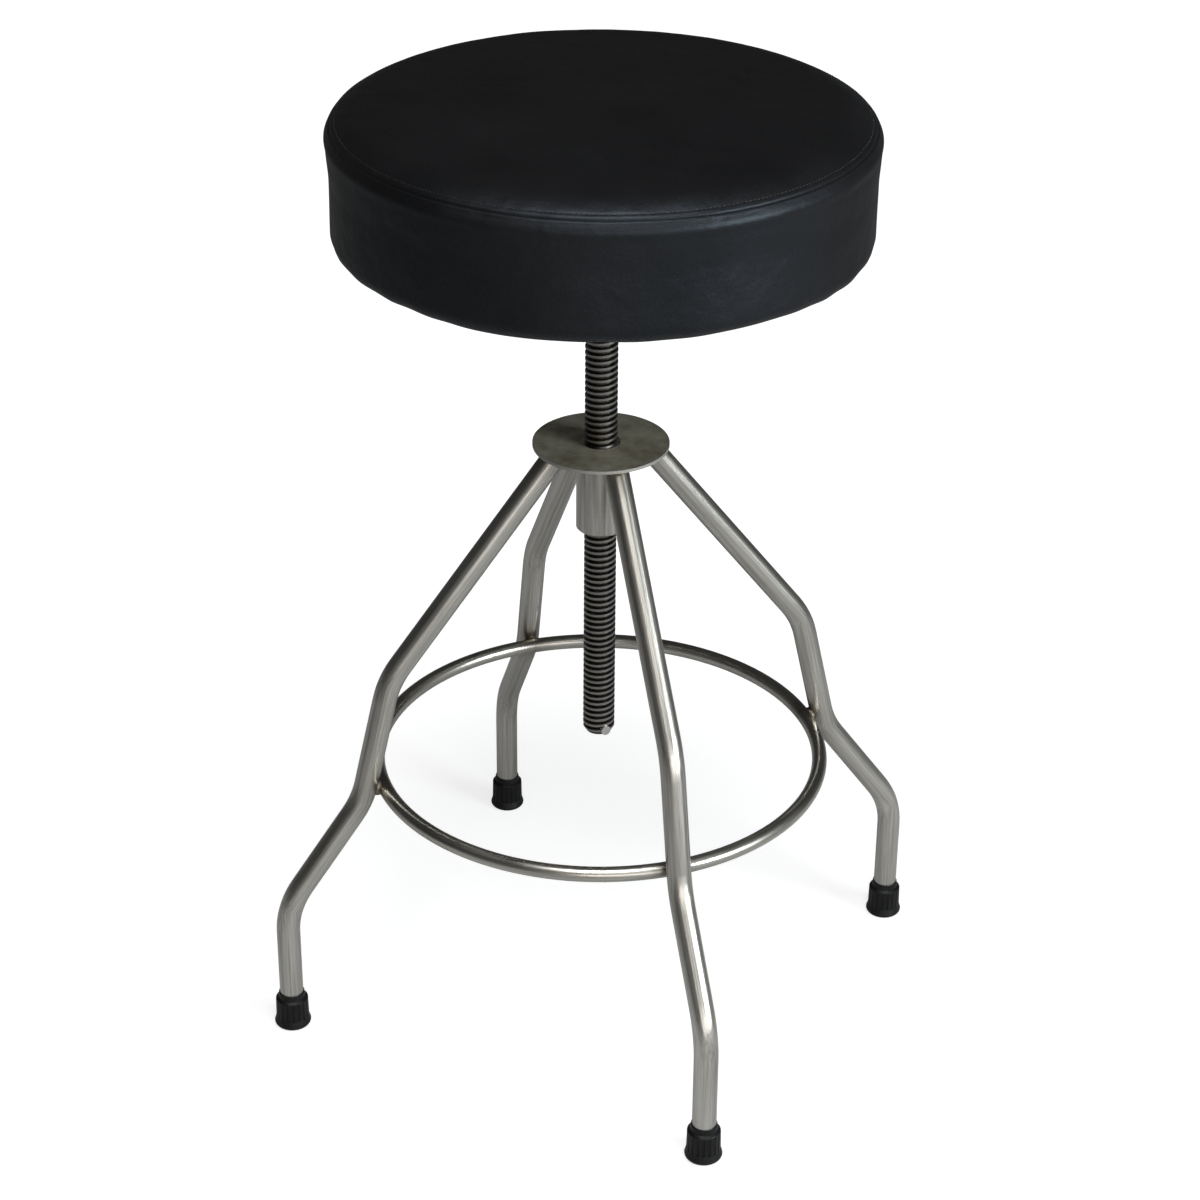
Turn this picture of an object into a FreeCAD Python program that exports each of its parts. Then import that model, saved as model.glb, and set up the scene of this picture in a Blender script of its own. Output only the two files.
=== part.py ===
import FreeCAD, Part
import math
import os
import Sketcher
from FreeCAD import Placement, Rotation, Vector

# A height-adjusting swivel stool: four bent tube legs, a hoop for the feet, a threaded hub that carries a
# long trapezoidal screw, and a round padded seat that rises as it is turned to the left.
#
# Driving sizes, in millimetres and degrees. Heights are above the floor. Radii of the legs are those of
# their centre line, from the screw's axis.
SIZES = {
    # leg tubes
    "tube_diameter": 19.05,
    "tube_wall": 1.65,
    "leg_turn": 45.0,
    "leg_top_radius": 33.5,
    "knee_radius": 174.0,
    "knee_height": 309.5,
    "knee_bend": 75.0,
    "waist_radius": 198.2,
    "waist_height": 205.0,
    "waist_bend": 75.0,
    "ankle_radius": 264.0,
    "ankle_height": 114.0,
    "ankle_bend": 70.0,
    # hoop for the feet
    "hoop_rod": 12.0,
    "hoop_height": 214.0,
    "hoop_gap": 0.3,
    "hoop_weld": 6.4,
    # top disc and threaded hub
    "disc_diameter": 106.0,
    "disc_thickness": 2.5,
    "disc_top": 493.5,
    "hub_diameter": 38.1,
    "hub_length": 71.5,
    "hub_chamfer": 1.2,
    "spigot_diameter": 31.0,
    "spigot_proud": 0.6,
    "spigot_chamfer": 0.4,
    "spigot_play": 0.05,
    "leg_weld": 2.2,
    # screw and its stop pin
    "screw_diameter": 25.4,
    "screw_bottom": 235.2,
    "screw_taper": 4.5,
    "thread_pitch": 5.08,
    "thread_depth": 2.54,
    "thread_crest": 1.88,
    "thread_play": 0.25,
    "pin_diameter": 8.0,
    "pin_inset": 5.0,
    "pin_proud": 1.3,
    "pin_play": 0.02,
    "pin_turn": -38.0,
    "collar_play": 0.05,
    "collar_weld": 6.0,
    "collar_weld_toe": 0.75,
    # rubber tips and the steel washers in them
    "tip_height": 31.8,
    "tip_collar": 21.9,
    "tip_shoulder": 26.4,
    "tip_body": 26.3,
    "tip_flange": 29.8,
    "tip_flange_height": 3.7,
    "tip_flare": 4.8,
    "tip_draft": 0.3,
    "tip_bevel": 0.9,
    "tip_lip": 0.8,
    "tip_floor": 5.0,
    "tip_play": 0.03,
    "tip_ribs": 18,
    "rib_groove": 0.7,
    "washer_thickness": 1.5,
    # padded seat
    "seat_diameter": 406.4,
    "seat_bottom": 661.3,
    "seat_top": 765.8,
    "crown_rise": 3.0,
    "shoulder_width": 26.4,
    "seam_inset": 3.1,
    "seam_drop": 12.8,
    "shoulder_bend": 40.5,
    "roll_drop": 8.8,
    "roll_bend": 14.0,
    "waistband_inset": 1.4,
    "corner_bend": 11.5,
    "cover_thickness": 1.2,
    "foam_play": 0.3,
    "hem_width": 25.3,
    # wooden board, cloth under it and the steel plate
    "board_inset": 15.2,
    "board_edge": 1.5,
    "board_thickness": 15.0,
    "cloth_overlap": 12.0,
    "cloth_thickness": 0.6,
    "cloth_play": 0.3,
    "plate_side": 152.0,
    "plate_thickness": 5.0,
    "plate_corner": 14.0,
    # bolts that hold the plate to the board
    "bolt_spacing": 120.0,
    "bolt_diameter": 7.9,
    "bolt_play": 0.35,
    "bolt_head_width": 12.7,
    "bolt_head_height": 5.2,
    "bolt_washer_width": 14.0,
    "bolt_washer_thickness": 2.0,
    "bolt_washer_play": 0.1,
    "bolt_end_gap": 2.0,
    "bolt_end_chamfer": 1.0,
    "insert_wall": 1.4,
    "insert_flange": 20.0,
    "insert_flange_thickness": 1.3,
    "insert_play": 0.1,
    "insert_recess": 2.0,
    # staples of the hem
    "staple_count": 32,
    "staple_width": 11.0,
    "staple_wire_width": 1.2,
    "staple_wire_thickness": 0.6,
}

LEG_NAMES = ("back_right", "back_left", "front_left", "front_right")
LEG_COUNT = len(LEG_NAMES)
BOLT_COUNT = 4

# Heights and radii that follow from the driving sizes, as expressions on the sheet.
TUBE_RADIUS = "Dim.tube_diameter / 2"
TUBE_BORE = "(Dim.tube_diameter / 2 - Dim.tube_wall)"
TUBE_BOTTOM = "(Dim.tip_floor + Dim.washer_thickness)"
DISC_UNDER = "(Dim.disc_top - Dim.disc_thickness)"
HUB_BOTTOM = f"({DISC_UNDER} - Dim.hub_length)"
SPIGOT_TOP = "(Dim.disc_top + Dim.spigot_proud)"
SCREW_CORE = "(Dim.screw_diameter / 2 - Dim.thread_depth)"
PIN_HEIGHT = "(Dim.screw_bottom + Dim.pin_inset)"
BOARD_UNDER = "(Dim.seat_bottom + Dim.cover_thickness)"
PLATE_TOP = f"({BOARD_UNDER} - Dim.cloth_thickness)"
PLATE_UNDER = f"({PLATE_TOP} - Dim.plate_thickness)"
BOARD_TOP = f"({BOARD_UNDER} + Dim.board_thickness)"
SEAT_RADIUS = "Dim.seat_diameter / 2"
SEAM_RADIUS = f"({SEAT_RADIUS} - Dim.seam_inset)"
SEAM_HEIGHT = "(Dim.seat_top - Dim.seam_drop)"
CROWN_RADIUS = f"({SEAM_RADIUS} - Dim.shoulder_width)"
WAISTBAND_RADIUS = f"({SEAT_RADIUS} - Dim.waistband_inset)"
HEM_RADIUS = f"({WAISTBAND_RADIUS} - Dim.corner_bend - Dim.hem_width)"
BOARD_RADIUS = f"({SEAT_RADIUS} - Dim.board_inset)"
BOLT_RADIUS = "Dim.bolt_diameter / 2"
BOLT_DISTANCE = "(Dim.bolt_spacing / sqrt(2))"
BOLT_TURN = 45.0
INSERT_RADIUS = "(Dim.bolt_diameter / 2 + Dim.insert_play + Dim.insert_wall)"

THREAD_FLANK = 14.5
FLANK_SLOPE = f"tan({THREAD_FLANK} deg)"
ROOT_OVERLAP = 0.4
PITCHES_PAST_HUB = 2
TUBE_OVERRUN = 16.0
CUT_REACH = 60.0
SKIN = 0.05
THREAD_END_GAP = 0.1
TAPER_OVERRUN = 0.2
BEAD_REACH = 2.0
FLUTE_OVERRUN = 1.0
EDGE_ROUNDING = 1.05
BEAD_ROUNDING = 1.2
SEAM_SHARE = 0.7


def make_sheet(doc):
    """The sheet of driving sizes: a word, its value and the value's alias on each row."""
    sheet = doc.addObject("Spreadsheet::Sheet", "Dim")
    for row, (word, size) in enumerate(SIZES.items(), start=1):
        sheet.set(f"A{row}", word)
        sheet.set(f"B{row}", str(size))
        sheet.setAlias(f"B{row}", word)
    doc.recompute()
    return sheet


def value(doc, expression):
    """What an expression on the sheet comes to, as a plain number."""
    found = doc.getObject("Dim").evalExpression(expression)
    return float(getattr(found, "Value", found))


def new_body(doc, label, turn=0.0):
    """An empty body, turned about the screw's axis."""
    body = doc.addObject("PartDesign::Body", label)
    body.Label = label
    body.Placement = Placement(Vector(), Rotation(Vector(0, 0, 1), turn))
    return body


def new_sketch(body, name, role="XZ_Plane", height=None, shift=None):
    """A sketch on one of the body's own planes. On XZ_Plane its Y is up; height lifts one on XY_Plane."""
    sketch = body.newObject("Sketcher::SketchObject", name)
    plane = next(f for f in body.Origin.OriginFeatures if f.Role == role)
    sketch.AttachmentSupport = (plane, [""])
    sketch.MapMode = "FlatFace"
    if height:
        sketch.setExpression("AttachmentOffset.Base.z", height)
    if shift:
        sketch.setExpression("AttachmentOffset.Base.x", shift)
    return sketch


def hold(sketch, geometry, position, across, up):
    """Ties a point of the sketch to two expressions."""
    for kind, axis, text in (("DistanceX", -2, across), ("DistanceY", -1, up)):
        if text == "0":
            sketch.addConstraint(Sketcher.Constraint("PointOnObject", geometry, position, axis))
            continue
        size = value(sketch.Document, text)
        index = sketch.addConstraint(Sketcher.Constraint(kind, geometry, position, size))
        sketch.setExpression(f"Constraints[{index}]", text)


def arc_between(start, end, radius, side):
    """An arc under a half circle that bulges to the left (side 1) or the right (side -1) of start to end.

    Returns it with the positions that start and end have on it, because an arc always runs anticlockwise.
    """
    chord = end - start
    left = Vector(-chord.y, chord.x, 0).normalize()
    depth = math.sqrt(radius ** 2 - (chord.Length / 2) ** 2)
    centre = (start + end) / 2 - left * side * depth
    turned = [math.atan2(p.y - centre.y, p.x - centre.x) for p in (start, end)]
    first, last = turned if side < 0 else reversed(turned)
    circle = Part.Circle(centre, Vector(0, 0, 1), radius)
    positions = (1, 2) if side < 0 else (2, 1)
    return Part.ArcOfCircle(circle, first, last), positions


def draw_outline(sketch, corners):
    """A closed outline. A corner is (across, up) or (across, up, radius, side) of the arc that follows."""
    doc = sketch.Document
    points = [Vector(value(doc, c[0]), value(doc, c[1]), 0) for c in corners]
    sides = []
    for i, corner in enumerate(corners):
        start, end = points[i], points[(i + 1) % len(corners)]
        if len(corner) == 2:
            sides.append((sketch.addGeometry(Part.LineSegment(start, end), False), 1, 2))
            continue
        arc, (first, last) = arc_between(start, end, value(doc, corner[2]), corner[3])
        sides.append((sketch.addGeometry(arc, False), first, last))
    for i, corner in enumerate(corners):
        side, first, last = sides[i]
        following = sides[(i + 1) % len(corners)]
        joint = Sketcher.Constraint("Coincident", side, last, following[0], following[1])
        sketch.addConstraint(joint)
        if len(corner) > 2:
            radius = Sketcher.Constraint("Radius", side, value(doc, corner[2]))
            sketch.setExpression(f"Constraints[{sketch.addConstraint(radius)}]", corner[2])
    for corner, (side, first, last) in zip(corners, sides):
        hold(sketch, side, first, corner[0], corner[1])
    doc.recompute()


def draw_circle(sketch, radius, across="0", up="0"):
    """A circle whose radius and centre follow expressions."""
    doc = sketch.Document
    centre = Vector(value(doc, across), value(doc, up), 0)
    circle = Part.Circle(centre, Vector(0, 0, 1), value(doc, radius))
    index = sketch.addGeometry(circle, False)
    held = sketch.addConstraint(Sketcher.Constraint("Radius", index, value(doc, radius)))
    sketch.setExpression(f"Constraints[{held}]", radius)
    hold(sketch, index, 3, across, up)
    doc.recompute()


def revolve(body, name, corners, shift=None, kind="PartDesign::Revolution"):
    """A solid of revolution about the vertical line through the sketch's origin."""
    sketch = new_sketch(body, name + "_outline", shift=shift)
    draw_outline(sketch, corners)
    feature = body.newObject(kind, name)
    feature.Profile = sketch
    feature.ReferenceAxis = (sketch, ["V_Axis"])
    feature.Angle = 360
    body.Document.recompute()
    return feature


def pad(body, name, sketch, length, kind="PartDesign::Pad", upward=True):
    """A pad or a pocket of a sketch on a level plane, upward unless it is told otherwise."""
    feature = body.newObject(kind, name)
    feature.Profile = sketch
    feature.setExpression("Length", length)
    feature.Reversed = upward == (kind == "PartDesign::Pocket")
    body.Document.recompute()
    return feature


def ring_pattern(body, name, features, count):
    """Copies features about the screw's axis. count is a number or an expression."""
    pattern = body.newObject("PartDesign::PolarPattern", name)
    pattern.Originals = features
    axis = next(f for f in body.Origin.OriginFeatures if f.Role == "Z_Axis")
    pattern.Axis = (axis, [""])
    pattern.Angle = 360
    if isinstance(count, str):
        pattern.setExpression("Occurrences", count)
    else:
        pattern.Occurrences = count
    body.Tip = pattern
    body.Document.recompute()
    return pattern


def leg_path(body):
    """The leg's centre line in its own upright plane: four straight runs joined by three tangent bends."""
    doc = body.Document
    rise = f"({DISC_UNDER} - Dim.knee_height)"
    lean = f"(Dim.knee_radius - Dim.leg_top_radius) / {rise}"
    corners = [
        ("Dim.ankle_radius", TUBE_BOTTOM, None),
        ("Dim.ankle_radius", "Dim.ankle_height", "Dim.ankle_bend"),
        ("Dim.waist_radius", "Dim.waist_height", "Dim.waist_bend"),
        ("Dim.knee_radius", "Dim.knee_height", "Dim.knee_bend"),
        (f"Dim.leg_top_radius - {TUBE_OVERRUN} * {lean}", f"{DISC_UNDER} + {TUBE_OVERRUN}", None),
    ]
    sketch = new_sketch(body, "centre_line")
    points = [Vector(value(doc, c[0]), value(doc, c[1]), 0) for c in corners]
    tangents = [0.0]
    for before, at, after, corner in zip(points, points[1:], points[2:], corners[1:]):
        turn = (at - before).getAngle(after - at)
        tangents.append(value(doc, corner[2]) * math.tan(turn / 2))
    tangents.append(0.0)
    runs = []
    for i, (start, end) in enumerate(zip(points, points[1:])):
        along = (end - start).normalize()
        run = Part.LineSegment(start + along * tangents[i], end - along * tangents[i + 1])
        runs.append(sketch.addGeometry(run, False))
    for i in range(1, len(points) - 1):
        before = sketch.Geometry[runs[i - 1]]
        after = sketch.Geometry[runs[i]]
        into = (before.EndPoint - before.StartPoint).normalize()
        out = (after.EndPoint - after.StartPoint).normalize()
        side = 1 if into.cross(out).z < 0 else -1
        radius = value(doc, corners[i][2])
        arc, (first, last) = arc_between(before.EndPoint, after.StartPoint, radius, side)
        bend = sketch.addGeometry(arc, False)
        corner = sketch.addGeometry(Part.Point(points[i]), True)
        sketch.addConstraint(Sketcher.Constraint("Tangent", runs[i - 1], 2, bend, first))
        sketch.addConstraint(Sketcher.Constraint("Tangent", bend, last, runs[i], 1))
        sketch.addConstraint(Sketcher.Constraint("PointOnObject", corner, 1, runs[i - 1]))
        sketch.addConstraint(Sketcher.Constraint("PointOnObject", corner, 1, runs[i]))
        held = sketch.addConstraint(Sketcher.Constraint("Radius", bend, radius))
        sketch.setExpression(f"Constraints[{held}]", corners[i][2])
        hold(sketch, corner, 1, corners[i][0], corners[i][1])
    hold(sketch, runs[0], 1, corners[0][0], corners[0][1])
    hold(sketch, runs[-1], 2, corners[-1][0], corners[-1][1])
    doc.recompute()
    return sketch


def leg(doc, name, turn):
    """One bent tube, its top cut level to meet the underside of the disc."""
    body = new_body(doc, "leg_" + name, turn)
    path = leg_path(body)
    section = new_sketch(body, "tube_section", "XY_Plane", height=TUBE_BOTTOM)
    draw_circle(section, TUBE_RADIUS, across="Dim.ankle_radius")
    draw_circle(section, TUBE_BORE, across="Dim.ankle_radius")
    tube = body.newObject("PartDesign::AdditivePipe", "bent_tube")
    tube.Profile = section
    tube.Spine = path
    doc.recompute()
    above = new_sketch(body, "above_disc", "XY_Plane", height=DISC_UNDER)
    draw_circle(above, "Dim.disc_diameter", across="Dim.leg_top_radius")
    pad(body, "level_top", above, str(CUT_REACH), kind="PartDesign::Pocket")
    return body


def at_foot(doc, body, turn):
    """Moves a body that was drawn about the screw's axis out to the foot of a leg."""
    body.Placement = Placement(Vector(), Rotation(Vector(0, 0, 1), turn))
    body.setExpression("Placement.Base.x", f"Dim.ankle_radius * cos({turn} deg)")
    body.setExpression("Placement.Base.y", f"Dim.ankle_radius * sin({turn} deg)")
    doc.recompute()


def rubber_tip(doc, name, turn):
    """A ribbed rubber tip: thin collar, fluted body, flared foot with a rounded edge."""
    body = new_body(doc, "rubber_tip_" + name)
    bore = f"({TUBE_RADIUS} + Dim.tip_play)"
    collar = "Dim.tip_collar / 2"
    wall = "Dim.tip_body / 2"
    flange = "Dim.tip_flange / 2"
    edge = "Dim.tip_flange_height"
    flared = f"({edge} + Dim.tip_flare)"
    corners = [
        ("0", "0"),
        (f"{flange} - {edge}", "0", f"{edge} * {EDGE_ROUNDING}", -1),
        (flange, edge),
        (f"{wall} + Dim.tip_draft", flared),
        (wall, "Dim.tip_shoulder - Dim.tip_bevel"),
        (f"{wall} - Dim.tip_bevel", "Dim.tip_shoulder"),
        (collar, "Dim.tip_shoulder + Dim.tip_bevel"),
        (f"{bore} + Dim.tip_lip", "Dim.tip_height"),
        (bore, "Dim.tip_height"),
        (bore, "Dim.tip_floor"),
        ("0", "Dim.tip_floor"),
    ]
    revolve(body, "tip", corners)
    groove = new_sketch(body, "flute", "XY_Plane", height=flared)
    draw_circle(groove, "Dim.rib_groove", across=f"{wall} + Dim.rib_groove / 3")
    depth = f"Dim.tip_shoulder - {flared} + {FLUTE_OVERRUN}"
    cut = pad(body, "flute_cut", groove, depth, kind="PartDesign::Pocket")
    ring_pattern(body, "flutes", [cut], "Dim.tip_ribs")
    at_foot(doc, body, turn)
    return body


def tip_washer(doc, name, turn):
    """The steel disc under the tube's end that stops it cutting through the rubber."""
    body = new_body(doc, "tip_washer_" + name)
    sketch = new_sketch(body, "washer_outline", "XY_Plane", height="Dim.tip_floor")
    draw_circle(sketch, f"{TUBE_RADIUS} - Dim.tip_play")
    pad(body, "washer", sketch, "Dim.washer_thickness")
    at_foot(doc, body, turn)
    return body


def hoop_radius():
    """The hoop lies against the inner side of the legs, which lean there."""
    fall = "(Dim.knee_height - Dim.waist_height)"
    step = "(Dim.waist_radius - Dim.knee_radius)"
    line = f"(Dim.waist_radius - (Dim.hoop_height - Dim.waist_height) * {step} / {fall})"
    lean = f"sqrt(1 + ({step} / {fall}) ^ 2)"
    return f"({line} - {TUBE_RADIUS} * {lean} - Dim.hoop_rod / 2 - Dim.hoop_gap)"


def foot_hoop(doc):
    """The round bar hoop on which the feet rest."""
    hoop = doc.addObject("Part::Torus", "foot_ring")
    hoop.Label = "foot_ring"
    hoop.setExpression("Radius1", hoop_radius())
    hoop.setExpression("Radius2", "Dim.hoop_rod / 2")
    hoop.setExpression("Placement.Base.z", "Dim.hoop_height")
    doc.recompute()
    return hoop


def solid_leg(doc, turn, extra):
    """A leg without its bore, grown by a skin, which shapes the welds beside it."""
    radius = value(doc, TUBE_RADIUS) + extra
    first = doc.getObject("leg_" + LEG_NAMES[0])
    path = next(o for o in first.Group if o.Label.startswith("centre_line")).Shape.copy()
    path.Placement = Placement(Vector(), Rotation(Vector(0, 0, 1), turn)) * path.Placement
    wire = Part.Wire(Part.__sortEdges__(path.Edges))
    low = min(wire.OrderedVertexes, key=lambda vertex: vertex.Point.z).Point
    circle = Part.Wire(Part.makeCircle(radius, low, Vector(0, 0, 1)))
    return wire.makePipeShell([circle], True, True)


def legs_turns(doc):
    """The four legs' directions about the screw's axis."""
    first = value(doc, "Dim.leg_turn")
    return [first + i * 360.0 / LEG_COUNT for i in range(LEG_COUNT)]


def weld_group(doc, label, beads):
    """Welds as one node of separate solids."""
    group = doc.addObject("Part::Feature", label)
    group.Label = label
    group.Shape = Part.makeCompound(beads)
    return group


def hoop_welds(doc, hoop):
    """A bead in the crotch between each leg and the hoop."""
    skinned = Part.makeTorus(hoop.Radius1.Value, hoop.Radius2.Value + SKIN)
    skinned.translate(Vector(0, 0, value(doc, "Dim.hoop_height")))
    contact = hoop.Radius1.Value + hoop.Radius2.Value
    beads = []
    for turn in legs_turns(doc):
        bead = Part.makeSphere(value(doc, "Dim.hoop_weld"))
        bead.translate(Vector(contact, 0, value(doc, "Dim.hoop_height")))
        bead.rotate(Vector(), Vector(0, 0, 1), turn)
        bead = bead.cut(solid_leg(doc, turn, SKIN)).cut(skinned)
        for piece in bead.Solids:
            if math.hypot(piece.CenterOfMass.x, piece.CenterOfMass.y) < contact + BEAD_REACH:
                beads.append(piece)
    return weld_group(doc, "ring_welds", beads)


def leg_welds(doc):
    """A bead round the top of each leg where it meets the underside of the disc and the hub."""
    size = value(doc, "Dim.leg_weld")
    under = value(doc, DISC_UNDER)
    hub_radius = value(doc, "Dim.hub_diameter / 2") + SKIN
    hub = Part.makeCylinder(hub_radius, CUT_REACH, Vector(0, 0, under - CUT_REACH))
    slab = Part.makeCylinder(value(doc, "Dim.disc_diameter"), size, Vector(0, 0, under - size))
    beads = []
    for turn in legs_turns(doc):
        bead = solid_leg(doc, turn, size).common(slab)
        bead = bead.cut(solid_leg(doc, turn, SKIN)).cut(hub)
        beads += bead.Solids
    return weld_group(doc, "leg_welds", beads)


def top_disc(doc):
    """The round plate on top of the legs, with a hole for the hub's spigot."""
    body = new_body(doc, "top_disc")
    sketch = new_sketch(body, "disc_outline", "XY_Plane", height=DISC_UNDER)
    draw_circle(sketch, "Dim.disc_diameter / 2")
    draw_circle(sketch, "Dim.spigot_diameter / 2 + Dim.spigot_play")
    pad(body, "disc", sketch, "Dim.disc_thickness")
    return body


def thread_section(sketch, root, crest, half_root, half_crest, height):
    """The trapezium of one turn of thread, centred at a height."""
    draw_outline(sketch, [
        (root, f"{height} - {half_root}"),
        (crest, f"{height} - {half_crest}"),
        (crest, f"{height} + {half_crest}"),
        (root, f"{height} + {half_root}"),
    ])


def thread(body, name, sketch, height, kind):
    """A right-hand helix of the section about the screw's axis."""
    helix = body.newObject(kind, name)
    helix.Profile = sketch
    helix.ReferenceAxis = (sketch, ["V_Axis"])
    helix.Mode = 0
    helix.LeftHanded = False
    helix.Reversed = False
    helix.Angle = 0
    helix.setExpression("Pitch", "Dim.thread_pitch")
    helix.setExpression("Height", height)
    body.Document.recompute()
    return helix


def threaded_hub(doc):
    """The sleeve under the disc whose thread carries the screw, with a spigot through the disc."""
    body = new_body(doc, "threaded_hub")
    bore = f"({SCREW_CORE} + Dim.thread_play)"
    outside = "Dim.hub_diameter / 2"
    spigot = "Dim.spigot_diameter / 2"
    revolve(body, "sleeve", [
        (f"{bore} + Dim.thread_depth", HUB_BOTTOM),
        (f"{outside} - Dim.hub_chamfer", HUB_BOTTOM),
        (outside, f"{HUB_BOTTOM} + Dim.hub_chamfer"),
        (outside, DISC_UNDER),
        (spigot, DISC_UNDER),
        (spigot, f"{SPIGOT_TOP} - Dim.spigot_chamfer"),
        (f"{spigot} - Dim.spigot_chamfer", SPIGOT_TOP),
        (f"{bore} + Dim.thread_depth", SPIGOT_TOP),
        (bore, f"{SPIGOT_TOP} - Dim.thread_depth"),
        (bore, f"{HUB_BOTTOM} + Dim.thread_depth"),
    ])
    turns = f"floor(({HUB_BOTTOM} - Dim.screw_bottom) / Dim.thread_pitch - {PITCHES_PAST_HUB})"
    start = f"(Dim.screw_bottom + Dim.thread_pitch * {turns})"
    crest = f"({SCREW_CORE} + Dim.thread_depth + Dim.thread_play)"
    half_crest = f"(Dim.thread_crest / 2 + Dim.thread_play / cos({THREAD_FLANK} deg))"
    root = f"({bore} - {ROOT_OVERLAP})"
    half_root = f"({half_crest} + (Dim.thread_depth + {ROOT_OVERLAP}) * {FLANK_SLOPE})"
    sketch = new_sketch(body, "groove_section")
    thread_section(sketch, root, crest, half_root, half_crest, start)
    height = f"{SPIGOT_TOP} - {start} + {PITCHES_PAST_HUB} * Dim.thread_pitch"
    thread(body, "groove", sketch, height, "PartDesign::SubtractiveHelix")
    return body


def cross_sketch(body, name):
    """A sketch on the upright plane square to the stop pin, its origin on the screw's axis."""
    sketch = new_sketch(body, name)
    sketch.AttachmentOffset = Placement(Vector(), Rotation(Vector(0, 1, 0), 90))
    sketch.setExpression("AttachmentOffset.Rotation.Angle", "Dim.pin_turn + 90")
    return sketch


def lead_screw(doc):
    """The trapezoidal screw, tapered at its lower end and cross-drilled for the stop pin."""
    body = new_body(doc, "lead_screw")
    revolve(body, "core", [
        ("0", "Dim.screw_bottom"),
        (SCREW_CORE, "Dim.screw_bottom"),
        (SCREW_CORE, PLATE_TOP),
        ("0", PLATE_TOP),
    ])
    half_crest = "Dim.thread_crest / 2"
    half_root = f"({half_crest} + (Dim.thread_depth + {ROOT_OVERLAP}) * {FLANK_SLOPE})"
    sketch = new_sketch(body, "ridge_section")
    root = f"({SCREW_CORE} - {ROOT_OVERLAP})"
    thread_section(sketch, root, "Dim.screw_diameter / 2", half_root, half_crest, "Dim.screw_bottom")
    height = f"{PLATE_UNDER} - Dim.screw_bottom - {half_root} - {THREAD_END_GAP}"
    thread(body, "ridge", sketch, height, "PartDesign::AdditiveHelix")
    low = "Dim.screw_bottom - Dim.thread_pitch"
    far = "Dim.screw_diameter"
    revolve(body, "tapered_end", [
        ("0", low),
        (far, low),
        (far, "Dim.screw_bottom + Dim.screw_taper"),
        (f"Dim.screw_diameter / 2 + {TAPER_OVERRUN}", "Dim.screw_bottom + Dim.screw_taper"),
        (SCREW_CORE, "Dim.screw_bottom"),
        ("0", "Dim.screw_bottom"),
    ], kind="PartDesign::Groove")
    drill = cross_sketch(body, "drill_section")
    draw_circle(drill, "Dim.pin_diameter / 2 + Dim.pin_play", up=PIN_HEIGHT)
    hole = body.newObject("PartDesign::Pocket", "cross_hole")
    hole.Profile = drill
    hole.Type = "ThroughAll"
    hole.Midplane = True
    doc.recompute()
    return body


def stop_pin(doc):
    """The pin across the screw's lower end that keeps it from being turned out of the hub."""
    body = new_body(doc, "stop_pin")
    section = cross_sketch(body, "pin_section")
    draw_circle(section, "Dim.pin_diameter / 2", up=PIN_HEIGHT)
    pin = body.newObject("PartDesign::Pad", "pin")
    pin.Profile = section
    pin.Midplane = True
    pin.setExpression("Length", "Dim.screw_diameter + 2 * Dim.pin_proud")
    doc.recompute()
    return body


def screw_top_weld(doc):
    """The round bead under the plate where the screw is welded to it."""
    body = new_body(doc, "screw_top_weld")
    inside = "(Dim.screw_diameter / 2 + Dim.collar_play)"
    revolve(body, "bead", [
        (inside, PLATE_UNDER),
        (inside, f"{PLATE_UNDER} - Dim.collar_weld"),
        (f"{inside} + Dim.collar_weld_toe", f"{PLATE_UNDER} - Dim.collar_weld",
         f"Dim.collar_weld * {BEAD_ROUNDING}", 1),
        (f"{inside} + Dim.collar_weld", f"{PLATE_UNDER} - Dim.collar_weld_toe"),
        (f"{inside} + Dim.collar_weld", PLATE_UNDER),
    ])
    return body


def bolt_holes(body, radius, height, depth):
    """A ring of holes for the bolts, upward from a height."""
    sketch = new_sketch(body, "bolt_hole_outline", "XY_Plane", height=height)
    draw_circle(sketch, radius, across="Dim.bolt_spacing / 2", up="Dim.bolt_spacing / 2")
    return pad(body, "bolt_hole", sketch, depth, kind="PartDesign::Pocket")


def seat_plate(doc):
    """The square steel plate at the top of the screw, with rounded corners and four holes."""
    body = new_body(doc, "seat_plate")
    half = "Dim.plate_side / 2"
    sketch = new_sketch(body, "plate_outline", "XY_Plane", height=PLATE_UNDER)
    inset = f"{half} - Dim.plate_corner"
    draw_outline(sketch, [
        (f"-({inset})", f"-{half}"),
        (inset, f"-{half}", "Dim.plate_corner", -1),
        (half, f"-({inset})"),
        (half, inset, "Dim.plate_corner", -1),
        (inset, half),
        (f"-({inset})", half, "Dim.plate_corner", -1),
        (f"-{half}", inset),
        (f"-{half}", f"-({inset})", "Dim.plate_corner", -1),
    ])
    draw_circle(sketch, f"{SCREW_CORE} + Dim.pin_play")
    pad(body, "plate", sketch, "Dim.plate_thickness")
    hole = bolt_holes(body, f"{BOLT_RADIUS} + Dim.bolt_play", PLATE_UNDER, "Dim.plate_thickness")
    ring_pattern(body, "plate_holes", [hole], BOLT_COUNT)
    return body


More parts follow.
